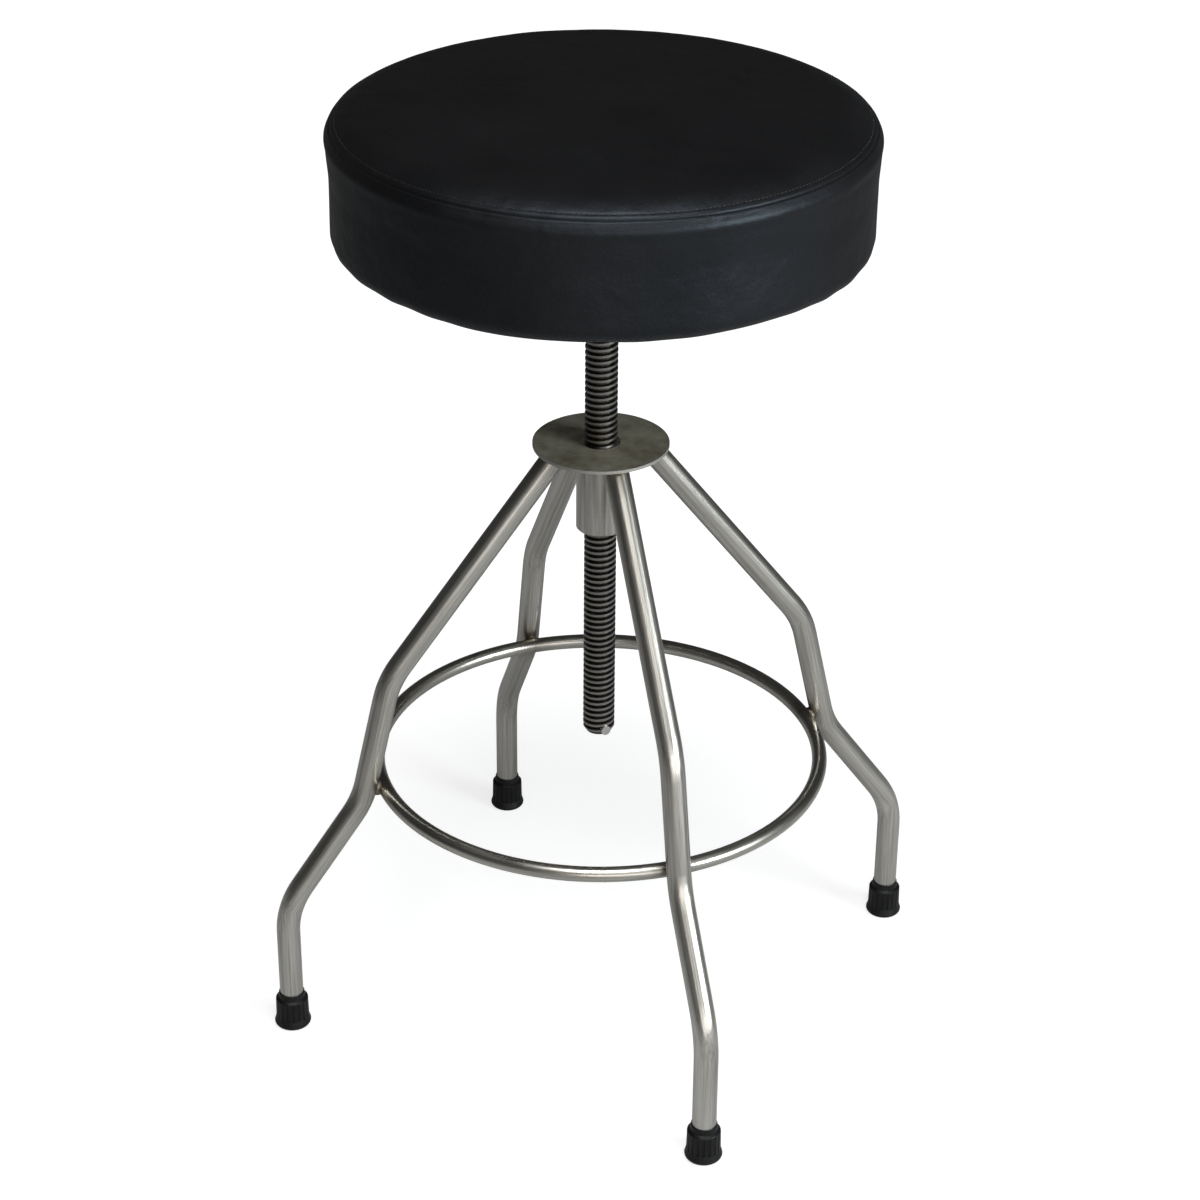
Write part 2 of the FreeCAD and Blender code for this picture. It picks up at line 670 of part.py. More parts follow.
def seat_board(doc):
    """The round plywood board in the seat, with stepped holes for the threaded inserts."""
    body = new_body(doc, "seat_board")
    revolve(body, "board", [
        ("0", BOARD_UNDER),
        (f"{BOARD_RADIUS} - Dim.board_edge", BOARD_UNDER),
        (BOARD_RADIUS, f"{BOARD_UNDER} + Dim.board_edge"),
        (BOARD_RADIUS, BOARD_TOP),
        ("0", BOARD_TOP),
    ])
    hole = bolt_holes(body, f"{INSERT_RADIUS} + Dim.insert_play", BOARD_UNDER, "Dim.board_thickness")
    step = new_sketch(body, "flange_seat", "XY_Plane", height=f"{BOARD_TOP} - Dim.insert_flange_thickness")
    wide = "Dim.insert_flange / 2 + Dim.insert_play"
    draw_circle(step, wide, across="Dim.bolt_spacing / 2", up="Dim.bolt_spacing / 2")
    recess = pad(body, "flange_recess", step, "Dim.insert_flange_thickness", kind="PartDesign::Pocket")
    ring_pattern(body, "board_holes", [hole, recess], BOLT_COUNT)
    return body


def around_bolt(doc, label, corners):
    """A group of four equal turned pieces, one at each bolt."""
    body = new_body(doc, label, BOLT_TURN)
    piece = revolve(body, label + "_piece", corners, shift=BOLT_DISTANCE)
    ring_pattern(body, label + "_ring", [piece], BOLT_COUNT)
    return body


def threaded_inserts(doc):
    """Flanged inserts let into the top of the board, into which the bolts go."""
    bore = f"{BOLT_RADIUS} + Dim.insert_play"
    low = f"{BOARD_UNDER} + Dim.insert_recess"
    return around_bolt(doc, "threaded_inserts", [
        (bore, low),
        (INSERT_RADIUS, low),
        (INSERT_RADIUS, f"{BOARD_TOP} - Dim.insert_flange_thickness"),
        ("Dim.insert_flange / 2", f"{BOARD_TOP} - Dim.insert_flange_thickness"),
        ("Dim.insert_flange / 2", BOARD_TOP),
        (bore, BOARD_TOP),
    ])


def lock_washers(doc):
    """The washers between the bolt heads and the plate."""
    low = f"{PLATE_UNDER} - Dim.bolt_washer_thickness"
    return around_bolt(doc, "lock_washers", [
        (f"{BOLT_RADIUS} + Dim.bolt_washer_play", low),
        ("Dim.bolt_washer_width / 2", low),
        ("Dim.bolt_washer_width / 2", PLATE_UNDER),
        (f"{BOLT_RADIUS} + Dim.bolt_washer_play", PLATE_UNDER),
    ])


def seat_bolts(doc):
    """Four hexagon-headed bolts from below."""
    body = new_body(doc, "seat_bolts", BOLT_TURN)
    head_top = f"({PLATE_UNDER} - Dim.bolt_washer_thickness)"
    end = f"({BOARD_TOP} - Dim.bolt_end_gap)"
    shank = revolve(body, "shank", [
        ("0", head_top),
        (BOLT_RADIUS, head_top),
        (BOLT_RADIUS, f"{end} - Dim.bolt_end_chamfer"),
        (f"{BOLT_RADIUS} - Dim.bolt_end_chamfer", end),
        ("0", end),
    ], shift=BOLT_DISTANCE)
    section = new_sketch(body, "head_outline", "XY_Plane", height=head_top, shift=BOLT_DISTANCE)
    reach = "Dim.bolt_head_width / sqrt(3)"
    around = [(f"{reach} * cos({60 * i} deg)", f"{reach} * sin({60 * i} deg)") for i in range(6)]
    around = [(x, "0" if i % 3 == 0 else y) for i, (x, y) in enumerate(around)]
    draw_outline(section, around)
    head = pad(body, "head", section, "Dim.bolt_head_height", upward=False)
    ring_pattern(body, "bolt_ring", [shank, head], BOLT_COUNT)
    return body


def seam_corner(inset):
    """The seam's place on an outline drawn in by an inset."""
    return f"{SEAM_RADIUS} - {SEAM_SHARE} * {inset}", f"{SEAM_HEIGHT} - {SEAM_SHARE} * {inset}"


def crown(inset):
    """Half of the padded top from the centre to the seam, drawn in from the outside by an inset."""
    rise = "Dim.crown_rise"
    wide = f"({CROWN_RADIUS} ^ 2 + {rise} ^ 2) / (2 * {rise})"
    return [
        ("0", f"Dim.seat_top - {inset}", wide, 1),
        (CROWN_RADIUS, f"Dim.seat_top - {rise} - {inset}", f"(Dim.shoulder_bend - {inset})", 1),
        seam_corner(inset),
    ]


def side(inset):
    """The side from the seam down: rolled outward, then drawn in, then turned under at the bottom."""
    corner = "(Dim.seat_bottom + Dim.corner_bend)"
    return [
        (*seam_corner(inset), f"(Dim.roll_bend - {inset})", 1),
        (f"{SEAT_RADIUS} - {inset}", f"{SEAM_HEIGHT} - Dim.roll_drop"),
        (f"{WAISTBAND_RADIUS} - {inset}", corner, f"(Dim.corner_bend - {inset})", 1),
        (f"{WAISTBAND_RADIUS} - Dim.corner_bend", f"Dim.seat_bottom + {inset}"),
    ]


def reverse_outline(corners):
    """The same outline walked the other way, its arcs still bulging outward."""
    walked = []
    for i in range(len(corners) - 1, -1, -1):
        across, up = corners[i][:2]
        before = corners[i - 1] if i else ()
        walked.append((across, up) if len(before) < 3 else (across, up, before[2], -before[3]))
    return walked


def seat_cover_top(doc):
    """The crowned top panel of the cover, down to the seam."""
    body = new_body(doc, "seat_cover_top")
    revolve(body, "panel", crown("0") + reverse_outline(crown("Dim.cover_thickness")))
    return body


def seat_cover_band(doc):
    """The side band of the cover, turned in under the board as a hem."""
    body = new_body(doc, "seat_cover_band")
    hem = [(HEM_RADIUS, "Dim.seat_bottom"), (HEM_RADIUS, BOARD_UNDER)]
    revolve(body, "band", side("0") + hem + reverse_outline(side("Dim.cover_thickness")))
    return body


def seat_foam(doc):
    """The foam: crowned, drawn in at the side, and cut out below for the board."""
    body = new_body(doc, "seat_foam")
    inset = "(Dim.cover_thickness + Dim.foam_play)"
    lip = f"{BOARD_RADIUS} + Dim.foam_play"
    under = f"{BOARD_TOP} + Dim.foam_play"
    corners = crown(inset)[:2] + side(inset)
    corners += [(lip, f"Dim.seat_bottom + {inset}"), (lip, under), ("0", under)]
    revolve(body, "foam", corners)
    return body


def dust_cloth(doc):
    """The cloth under the board: flat against it in the middle, stepped down over the hem outside."""
    body = new_body(doc, "dust_cloth")
    step = f"({HEM_RADIUS} - 2 * Dim.cover_thickness)"
    edge = f"({HEM_RADIUS} - Dim.cloth_play)"
    rim = f"({HEM_RADIUS} + Dim.cloth_overlap)"
    revolve(body, "cloth", [
        ("0", PLATE_TOP),
        (f"{step} - Dim.cloth_thickness", PLATE_TOP),
        (f"{edge} - Dim.cloth_thickness", "Dim.seat_bottom - Dim.cloth_thickness"),
        (rim, "Dim.seat_bottom - Dim.cloth_thickness"),
        (rim, "Dim.seat_bottom"),
        (edge, "Dim.seat_bottom"),
        (step, BOARD_UNDER),
        ("0", BOARD_UNDER),
    ])
    hole = bolt_holes(body, f"{BOLT_RADIUS} + Dim.bolt_play", PLATE_TOP, "Dim.cloth_thickness")
    ring_pattern(body, "cloth_holes", [hole], BOLT_COUNT)
    return body


def hem_staples(doc):
    """The crowns of the staples that hold the cloth and the hem to the board."""
    body = new_body(doc, "hem_staples")
    low = "(Dim.seat_bottom - Dim.cloth_thickness - Dim.staple_wire_thickness)"
    sketch = new_sketch(body, "staple_outline", "XY_Plane", height=low)
    near = f"{HEM_RADIUS} + (Dim.cloth_overlap - Dim.staple_wire_width) / 2"
    far = f"{HEM_RADIUS} + (Dim.cloth_overlap + Dim.staple_wire_width) / 2"
    draw_outline(sketch, [
        (near, "-Dim.staple_width / 2"),
        (far, "-Dim.staple_width / 2"),
        (far, "Dim.staple_width / 2"),
        (near, "Dim.staple_width / 2"),
    ])
    staple = pad(body, "staple", sketch, "Dim.staple_wire_thickness")
    ring_pattern(body, "staple_ring", [staple], "Dim.staple_count")
    return body


def failures(doc, parts):
    """What went wrong in the document, in words."""
    found = [f"{o.Label}: {o.State}" for o in doc.Objects if {"Invalid", "Error"} & set(o.State)]
    for part in parts:
        if part.Shape.isNull() or not part.Shape.isValid() or not part.Shape.Solids:
            found.append(f"{part.Label}: no valid solid")
    return found


def build():
    """Makes the document and returns it with its sub-parts."""
    doc = FreeCAD.newDocument("swivel_stool")
    make_sheet(doc)
    parts = []
    for name, turn in zip(LEG_NAMES, legs_turns(doc)):
        parts.append(leg(doc, name, turn))
        parts.append(rubber_tip(doc, name, turn))
        parts.append(tip_washer(doc, name, turn))
    hoop = foot_hoop(doc)
    parts += [hoop, hoop_welds(doc, hoop), leg_welds(doc)]
    for make in (top_disc, threaded_hub, lead_screw, stop_pin, screw_top_weld, seat_plate, seat_bolts,
                 lock_washers, threaded_inserts, seat_board, dust_cloth, hem_staples, seat_foam,
                 seat_cover_band, seat_cover_top):
        parts.append(make(doc))
    doc.recompute()
    return doc, parts


def main():
    doc, parts = build()
    found = failures(doc, parts)
    if found:
        raise SystemExit("\n".join(found))
    os.makedirs("parts", exist_ok=True)
    for part in parts:
        part.Shape.exportStep(f"parts/{part.Label}.step")
        print(part.Label, len(part.Shape.Solids), round(part.Shape.Volume))


main()
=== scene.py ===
import bisect
import math
import bmesh
import bpy
from mathutils import Matrix, Vector
from mathutils.bvhtree import BVHTree


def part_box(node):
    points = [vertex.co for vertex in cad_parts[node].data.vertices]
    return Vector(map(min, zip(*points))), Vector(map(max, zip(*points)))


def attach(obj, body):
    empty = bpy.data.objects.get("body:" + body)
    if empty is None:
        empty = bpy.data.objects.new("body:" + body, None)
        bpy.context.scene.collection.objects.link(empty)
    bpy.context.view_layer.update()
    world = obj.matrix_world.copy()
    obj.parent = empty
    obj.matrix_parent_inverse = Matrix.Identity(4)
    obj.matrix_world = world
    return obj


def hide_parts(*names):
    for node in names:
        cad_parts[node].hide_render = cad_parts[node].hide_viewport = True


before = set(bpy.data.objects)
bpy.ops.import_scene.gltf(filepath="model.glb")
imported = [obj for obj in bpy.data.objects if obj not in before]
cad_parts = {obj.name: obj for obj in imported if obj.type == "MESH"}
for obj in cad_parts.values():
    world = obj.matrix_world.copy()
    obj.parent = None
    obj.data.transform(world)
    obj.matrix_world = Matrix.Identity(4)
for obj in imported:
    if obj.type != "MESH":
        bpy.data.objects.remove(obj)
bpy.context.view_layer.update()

# Sizes are in metres and angles in degrees. Those of the frame are read from it where they can be.
SEAT_LOW, SEAT_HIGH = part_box("seat_cover_band")
SEAT_RADIUS = SEAT_HIGH.x
SEAT_BOTTOM = SEAT_LOW.z
SEAT_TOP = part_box("seat_cover_top")[1].z
SEAM_HEIGHT = SEAT_HIGH.z
SEAM_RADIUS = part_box("seat_cover_top")[1].x
HEM_RADIUS = 0.165
SCREW_RADIUS = 0.0127
SCREW_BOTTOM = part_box("lead_screw")[0].z
THREAD_DEPTH = 0.00254
DISC_LOW, DISC_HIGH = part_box("top_disc")
DISC_RADIUS = DISC_HIGH.x
DISC_TOP = DISC_HIGH.z
DISC_UNDER = DISC_LOW.z
FEET_TURNS = {"back_right": 45, "back_left": 135, "front_left": 225, "front_right": 315}
# The centre line of a leg as (radius, height) from the top down, its bends drawn as corners.
LEG_LINE = ((0.0335, DISC_UNDER), (0.174, 0.3095), (0.1982, 0.205), (0.264, 0.114), (0.264, 0.0))
RING_HEIGHT = (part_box("foot_ring")[1].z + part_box("foot_ring")[0].z) / 2
PLY_PAIR = 0.003
WHITE = (1.0, 1.0, 1.0)


# Node helpers

class Nodes:
    """A short way to write the node tree of a material or of the world."""

    def __init__(self, owner, output):
        self.owner = owner
        owner.use_nodes = True
        self.tree = owner.node_tree
        self.tree.nodes.clear()
        self.output = self.add(output)
        self.coordinates = self.add("TexCoord").outputs
        self.place = self.coordinates["Object"]

    def add(self, kind, **settings):
        """A node of that kind. A setting that the node doesn't have is one of its sockets."""
        node = self.tree.nodes.new("ShaderNode" + kind)
        for key, content in settings.items():
            if hasattr(node, key):
                setattr(node, key, content)
            else:
                self.put(node.inputs[key.replace("_", " ")], content)
        return node

    def put(self, socket, content):
        """Links a socket or sets its value."""
        if isinstance(content, bpy.types.NodeSocket):
            self.tree.links.new(content, socket)
        elif content is not None:
            socket.default_value = content

    def maths(self, operation, first, second=None, kind="Math"):
        """One step of arithmetic."""
        node = self.add(kind, operation=operation)
        self.put(node.inputs[0], first)
        self.put(node.inputs[1], second)
        return node.outputs["Value"]

    def vector_maths(self, operation, first, second=None):
        """A step of vector arithmetic that gives a number."""
        return self.maths(operation, first, second, "VectorMath")

    def weighted(self, *pairs):
        """The sum of (value, weight) pairs."""
        parts = [self.maths("MULTIPLY", content, weight) for content, weight in pairs]
        total = parts[0]
        for part in parts[1:]:
            total = self.maths("ADD", total, part)
        return total

    def split(self, vector):
        """The three parts of a vector."""
        return self.add("SeparateXYZ", Vector=vector).outputs

    def join(self, x, y, z):
        """A vector of three parts."""
        return self.add("CombineXYZ", X=x, Y=y, Z=z).outputs[0]

    def stretched(self, parts, factors):
        """A vector of three parts, each multiplied by its factor."""
        return self.join(*[self.maths("MULTIPLY", part, factor) for part, factor in zip(parts, factors)])

    def around(self):
        """Distance from the upright axis, angle about it, and height."""
        x, y, z = self.split(self.place)
        square = self.maths("ADD", self.maths("MULTIPLY", x, x), self.maths("MULTIPLY", y, y))
        return self.maths("SQRT", square), self.maths("ARCTAN2", y, x), z

    def noise(self, vector, scale, detail, roughness=0.55):
        """Noise from 0 to 1."""
        node = self.add("TexNoise", Vector=vector, Scale=scale, Detail=detail, Roughness=roughness)
        return node.outputs["Fac"]

    def ramp(self, source, *stops):
        """A colour ramp of (place, colour) stops."""
        node = self.add("ValToRGB")
        self.put(node.inputs[0], source)
        elements = node.color_ramp.elements
        while len(elements) < len(stops):
            elements.new(0.5)
        for element, (position, color) in zip(elements, stops):
            element.position = position
            element.color = (*color, 1.0)
        return node.outputs[0]

    def span(self, source, low, high, to_low, to_high):
        """Maps one range to another and stays in it."""
        return self.add("MapRange", Value=source, From_Min=low, From_Max=high, To_Min=to_low,
                        To_Max=to_high).outputs[0]

    def mix(self, factor, first, second, blend="MIX"):
        """Mixes two colours."""
        node = self.add("Mix", data_type="RGBA", blend_type=blend)
        self.put(node.inputs[0], factor)
        for socket, content in ((node.inputs[6], first), (node.inputs[7], second)):
            self.put(socket, (*content, 1.0) if isinstance(content, tuple) else content)
        return node.outputs[2]

    def bump(self, height, strength, distance, normal=None):
        """A bump from a height."""
        return self.add("Bump", Height=height, Strength=strength, Distance=distance, Normal=normal).outputs[0]

    def finish(self, shader):
        """Puts the shader on the output."""
        self.tree.links.new(shader.outputs[0], self.output.inputs["Surface"])
        return self.owner

    def surface(self, color, roughness, normal, **constants):
        """The shader, whose constants are set on its own sockets."""
        return self.finish(self.add("BsdfPrincipled", Base_Color=color, Roughness=roughness, Normal=normal,
                                    **constants))


def new_material(name):
    """The nodes of a new material."""
    return Nodes(bpy.data.materials.new(name), "OutputMaterial")


# Steel

def tube_place(m, turn):
    """Coordinates of a leg's tube laid straight: across, across, along."""
    x, y, z = m.split(m.place)
    cosine, sine = math.cos(math.radians(turn)), math.sin(math.radians(turn))
    outward = m.maths("ADD", m.maths("MULTIPLY", x, cosine), m.maths("MULTIPLY", y, sine))
    sideways = m.maths("SUBTRACT", m.maths("MULTIPLY", y, cosine), m.maths("MULTIPLY", x, sine))
    line = None
    for (high_radius, high), (low_radius, low) in zip(LEG_LINE, LEG_LINE[1:]):
        if line is None:
            line = m.span(z, low, high, low_radius, high_radius)
        else:
            line = m.maths("ADD", line, m.span(z, low, high, low_radius - high_radius, 0.0))
    return m.maths("SUBTRACT", outward, line), sideways, z


def leg_steel(name, turn):
    """Stainless tube brushed lengthwise, tinted brown where the ring and the disc were welded on."""
    m = new_material("leg_steel_" + name)
    outward, sideways, z = tube_place(m, turn)
    tube = (outward, sideways, z)
    fine = m.noise(m.stretched(tube, (900, 900, 14)), 1.0, 5.0, 0.65)
    broad = m.noise(m.stretched(tube, (160, 160, 9)), 1.0, 3.0)
    drawn = m.noise(m.stretched(tube, (330, 330, 3)), 1.0, 2.0)
    cloud = m.noise(m.place, 22.0, 4.0)
    tone = m.weighted((fine, 0.50), (broad, 0.25), (drawn, 0.25))
    color = m.ramp(tone, (0.36, (0.36, 0.345, 0.31)), (0.50, (0.60, 0.58, 0.53)), (0.64, (0.78, 0.76, 0.71)))
    near_ring = m.maths("ABSOLUTE", m.maths("SUBTRACT", z, RING_HEIGHT))
    heat = m.span(near_ring, 0.004, 0.030, 0.75, 0.0)
    heat = m.maths("MULTIPLY", heat, m.span(outward, -0.011, 0.004, 1.0, 0.15))
    heat = m.maths("MULTIPLY", heat, m.span(cloud, 0.3, 0.65, 0.45, 1.0))
    near_disc = m.span(z, DISC_UNDER - 0.021, DISC_UNDER, 0.0, 0.5)
    color = m.mix(m.maths("MAXIMUM", heat, near_disc), color, (0.17, 0.125, 0.075))
    rough = m.span(m.weighted((fine, 0.6), (cloud, 0.4)), 0.3, 0.7, 0.26, 0.40)
    normal = m.bump(fine, 0.16, 0.0002)
    normal = m.bump(drawn, 0.30, 0.0008, normal)
    normal = m.bump(cloud, 0.12, 0.002, normal)
    return m.surface(color, rough, normal, Metallic=1.0)


def ring_steel():
    """The bent bar of the foot ring, brushed along its length, browner near the welds."""
    m = new_material("ring_steel")
    distance, angle, z = m.around()
    x, y, _ = m.split(m.place)
    fine = m.noise(m.stretched((m.weighted((distance, 900), (x, 12)), z, y), (1, 900, 12)), 1.0, 5.0, 0.65)
    drawn = m.noise(m.stretched((distance, z, x), (450, 450, 3)), 1.0, 2.0)
    cloud = m.noise(m.place, 18.0, 4.0)
    color = m.ramp(fine, (0.30, (0.38, 0.36, 0.32)), (0.50, (0.56, 0.54, 0.49)), (0.70, (0.70, 0.68, 0.63)))
    weld = m.maths("ABSOLUTE", m.maths("COSINE", m.maths("MULTIPLY", angle, 2.0)))
    heat = m.maths("MULTIPLY", m.span(weld, 0.0, 0.22, 0.65, 0.0), m.span(cloud, 0.3, 0.65, 0.5, 1.0))
    color = m.mix(heat, color, (0.13, 0.095, 0.06))
    rough = m.span(cloud, 0.3, 0.7, 0.24, 0.36)
    normal = m.bump(drawn, 0.12, 0.0005, m.bump(fine, 0.05, 0.0002))
    return m.surface(color, rough, normal, Metallic=1.0)


def weld_steel():
    """A weld bead: rippled, dull, straw and brown."""
    m = new_material("weld_steel")
    ripple = m.noise(m.place, 700.0, 3.0)
    cloud = m.noise(m.place, 130.0, 3.0)
    color = m.ramp(cloud, (0.35, (0.11, 0.085, 0.06)), (0.55, (0.22, 0.19, 0.15)),
                   (0.70, (0.32, 0.295, 0.25)))
    rough = m.span(cloud, 0.3, 0.7, 0.42, 0.60)
    return m.surface(color, rough, m.bump(ripple, 0.4, 0.0006), Metallic=1.0)


def disc_steel():
    """Ground plate: dull, warm and dark on its face, brighter at its turned edge."""
    m = new_material("disc_steel")
    distance, _, z = m.around()
    x, y, _ = m.split(m.place)
    ground = m.noise(m.stretched((x, y, z), (260, 1500, 1)), 1.0, 4.0, 0.7)
    cloud = m.noise(m.place, 60.0, 4.0, 0.6)
    speckle = m.noise(m.place, 900.0, 2.0)
    tone = m.weighted((ground, 0.35), (cloud, 0.65))
    color = m.ramp(tone, (0.36, (0.40, 0.36, 0.265)), (0.50, (0.58, 0.55, 0.435)), (0.64, (0.72, 0.69, 0.56)))
    rim = m.span(distance, DISC_RADIUS - 0.0015, DISC_RADIUS - 0.0004, 0.0, 1.0)
    color = m.mix(rim, color, (0.50, 0.49, 0.45))
    rough = m.span(speckle, 0.3, 0.7, 0.62, 0.76)
    return m.surface(color, rough, m.bump(ground, 0.25, 0.0003), Metallic=1.0)


def hub_steel():
    """The turned sleeve: fine rings from the tool and faint upright stains."""
    m = new_material("hub_steel")
    distance, _, z = m.around()
    x, y, _ = m.split(m.place)
    rings = m.noise(m.stretched((distance, 0.0, z), (300, 1, 1600)), 1.0, 3.0)
    stains = m.noise(m.stretched((x, y, z), (190, 190, 12)), 1.0, 4.0)
    tone = m.weighted((rings, 0.12), (stains, 0.88))
    color = m.ramp(tone, (0.32, (0.34, 0.325, 0.29)), (0.52, (0.54, 0.525, 0.485)),
                   (0.70, (0.80, 0.78, 0.74)))
    lip = m.span(z, DISC_TOP, DISC_TOP + 0.0005, 0.0, 1.0)
    color = m.mix(lip, color, (0.62, 0.61, 0.58))
    normal = m.bump(stains, 0.20, 0.0005, m.bump(rings, 0.08, 0.0002))
    return m.surface(color, m.span(stains, 0.3, 0.7, 0.16, 0.27), normal, Metallic=1.0)


def screw_steel():
    """Oiled thread: black roots, worn grey crests."""
    m = new_material("screw_steel")
    distance, angle, z = m.around()
    grime = m.noise(m.place, 240.0, 4.0, 0.65)
    turning = m.noise(m.stretched((distance, angle, z), (2500, 1, 350)), 1.0, 3.0)
    root = SCREW_RADIUS - THREAD_DEPTH
    height = m.span(distance, root, SCREW_RADIUS, 0.0, 1.0)
    height = m.maths("ADD", height, m.maths("MULTIPLY", m.maths("SUBTRACT", grime, 0.5), 0.35))
    color = m.ramp(height, (0.05, (0.075, 0.066, 0.056)), (0.50, (0.16, 0.148, 0.134)),
                   (0.95, (0.31, 0.30, 0.285)))
    end = m.span(z, SCREW_BOTTOM + 0.0001, SCREW_BOTTOM + 0.0002, 1.0, 0.0)
    color = m.mix(end, color, (0.30, 0.295, 0.285))
    rough = m.span(grime, 0.3, 0.7, 0.26, 0.46)
    return m.surface(color, rough, m.bump(turning, 0.12, 0.0002), Metallic=1.0)


def plain_steel(name, dark, light, roughness):
    """Small steel pieces: mottled, with fine scratches."""
    m = new_material(name)
    cloud = m.noise(m.place, 160.0, 4.0, 0.6)
    scratch = m.noise(m.stretched(m.split(m.place), (2200, 300, 300)), 1.0, 2.0)
    color = m.ramp(cloud, (0.32, dark), (0.68, light))
    rough = m.span(scratch, 0.3, 0.7, roughness - 0.06, roughness + 0.08)
    return m.surface(color, rough, m.bump(scratch, 0.10, 0.0002), Metallic=1.0)


# Rubber, cloth, wood, vinyl

def tip_rubber():
    """Moulded rubber, a little dusty on its ribs and foot."""
    m = new_material("tip_rubber")
    _, _, z = m.around()
    cloud = m.noise(m.place, 90.0, 4.0, 0.6)
    grain = m.noise(m.place, 2400.0, 2.0)
    dust = m.maths("MULTIPLY", m.span(cloud, 0.42, 0.75, 0.0, 1.0), m.span(z, 0.0, 0.030, 1.0, 0.35))
    color = m.mix(m.maths("MULTIPLY", dust, 0.5), (0.0042, 0.0042, 0.0044), (0.0125, 0.0120, 0.0115))
    rough = m.span(cloud, 0.3, 0.7, 0.36, 0.54)
    return m.surface(color, rough, m.bump(grain, 0.14, 0.0003), Specular_IOR_Level=0.30)


def black_vinyl():
    """Upholstery vinyl: fine leather grain, satin, its coating a little uneven."""
    m = new_material("black_vinyl")
    cells = m.add("TexVoronoi", feature="DISTANCE_TO_EDGE", Vector=m.place, Scale=620.0)
    pebble = m.span(cells.outputs["Distance"], 0.0, 0.22, 0.0, 1.0)
    crease = m.noise(m.place, 210.0, 4.0, 0.6)
    cloud = m.noise(m.place, 9.0, 4.0, 0.55)
    fine = m.noise(m.place, 3200.0, 2.0)
    grain = m.weighted((pebble, 0.6), (crease, 0.4))
    color = m.mix(m.span(cloud, 0.32, 0.68, 0.0, 1.0), (0.0056, 0.0052, 0.0054), (0.0098, 0.0091, 0.0092))
    # Painted shade: the colour is darkened in the hollows between the grain's pebbles.
    color = m.mix(m.span(pebble, 0.0, 1.0, 0.35, 0.0), color, (0.0022, 0.0022, 0.0024))
    rough = m.maths("ADD", m.span(cloud, 0.3, 0.7, 0.36, 0.44), m.span(fine, 0.3, 0.7, 0.0, 0.06))
    normal = m.bump(grain, 0.16, 0.00025)
    normal = m.bump(m.noise(m.place, 48.0, 3.0, 0.5), 0.35, 0.0035, normal)
    # Painted light colour: the specular tint turns the vinyl's reflections bluish, standing in for the cool
    # window light.
    return m.surface(color, rough, normal, Specular_IOR_Level=0.34, Specular_Tint=(0.70, 0.85, 1.0, 1.0))


def stitch_thread():
    """Twisted black thread with a slight shine."""
    m = new_material("stitch_thread")
    strands = m.noise(m.place, 2600.0, 3.0)
    color = m.ramp(strands, (0.35, (0.008, 0.008, 0.009)), (0.65, (0.030, 0.030, 0.033)))
    rough = m.span(strands, 0.3, 0.7, 0.40, 0.60)
    return m.surface(color, rough, m.bump(strands, 0.4, 0.0003))


def dust_cloth():
    """Thin black spun cloth with a faint embossed dot."""
    m = new_material("dust_cloth")
    x, y, _ = m.split(m.place)
    waves = [m.maths("SINE", m.maths("MULTIPLY", part, 2100.0)) for part in (x, y)]
    dots = m.maths("MULTIPLY", *waves)
    fibre = m.noise(m.place, 1500.0, 4.0)
    color = m.ramp(fibre, (0.35, (0.010, 0.010, 0.010)), (0.70, (0.035, 0.035, 0.034)))
    rough = m.span(fibre, 0.3, 0.7, 0.8, 0.95)
    return m.surface(color, rough, m.bump(dots, 0.3, 0.0003))


def plywood():
    """Birch plywood: long grain on its faces, plies round its edge."""
    m = new_material("plywood")
    x, y, z = m.split(m.place)
    grain = m.noise(m.stretched((x, y, z), (6, 160, 160)), 1.0, 5.0, 0.6)
    plies = m.maths("SINE", m.maths("MULTIPLY", z, 2 * math.pi / PLY_PAIR))
    color = m.ramp(grain, (0.30, (0.36, 0.23, 0.12)), (0.55, (0.55, 0.39, 0.23)), (0.72, (0.66, 0.50, 0.32)))
    color = m.mix(m.span(plies, 0.2, 0.5, 0.0, 0.35), color, (0.24, 0.15, 0.08))
    rough = m.span(grain, 0.3, 0.7, 0.55, 0.72)
    return m.surface(color, rough, m.bump(grain, 0.15, 0.0003))


# The padded seat

ROUND_STEPS = 288
PROFILE_FINENESS = 40
# The cover's rings are this far apart at the seam, and beyond the reach grow apart up to the widest step.
SEAM_STEP = 0.0004
SEAM_STEP_REACH = 0.009
STEP_GROWTH = 1.25
TOP_WIDEST_STEP = 0.006
BAND_WIDEST_STEP = 0.0025

# The outline, from the crown to the hem
CROWN_RISE = 0.003
SHOULDER_WIDTH = 0.0264
SHOULDER_RADIUS = 0.0405
ROLL_DROP = 0.0130
DRAWN_IN = 0.0014
DRAWN_DROP = 0.040
CORNER_RADIUS = 0.0115

# The cushion that is blown up as cloth
CUSHION_FINENESS = 3
CUSHION_STEPS = 96
CUSHION_POLE = 0.002
CUSHION_INSET = 0.0025
VOXEL = 0.005
CUSHION_PRESSURE = 4.0
CUSHION_FRAMES = 20
CUSHION_CAP = 0.006
STAPLES = 32
HEM_HOLD = 0.018
HEM_GATHER = 0.006
SEAM_HOLD = 0.008
SEAM_GRIP = 0.75
PROBE = 0.02
SWELL_GAIN = 0.8
SWELL_SMOOTHING = 3

# The cover. Each wave of the seam is (height, place from the seam, width): the groove, the ridge beside it,
# the pull of the stitches and the rolled edge below.
COVER_THICKNESS = 0.0012
FOLD_DEPTH = 0.0026
FOLD_GAP = 0.00012
TOPSTITCH = -0.0052
SEAM_WAVES = ((-0.0010, 0.0, 0.0009), (0.00018, -0.0030, 0.0013), (-0.00015, TOPSTITCH, 0.0008),
              (0.0011, 0.0085, 0.0045))
PUCKER_REACH = 0.040
PUCKER_DEPTH = 0.0005
SAG_DEPTH = 0.0005
SAG_HEIGHT = 0.050
SAG_SPREAD = 0.030

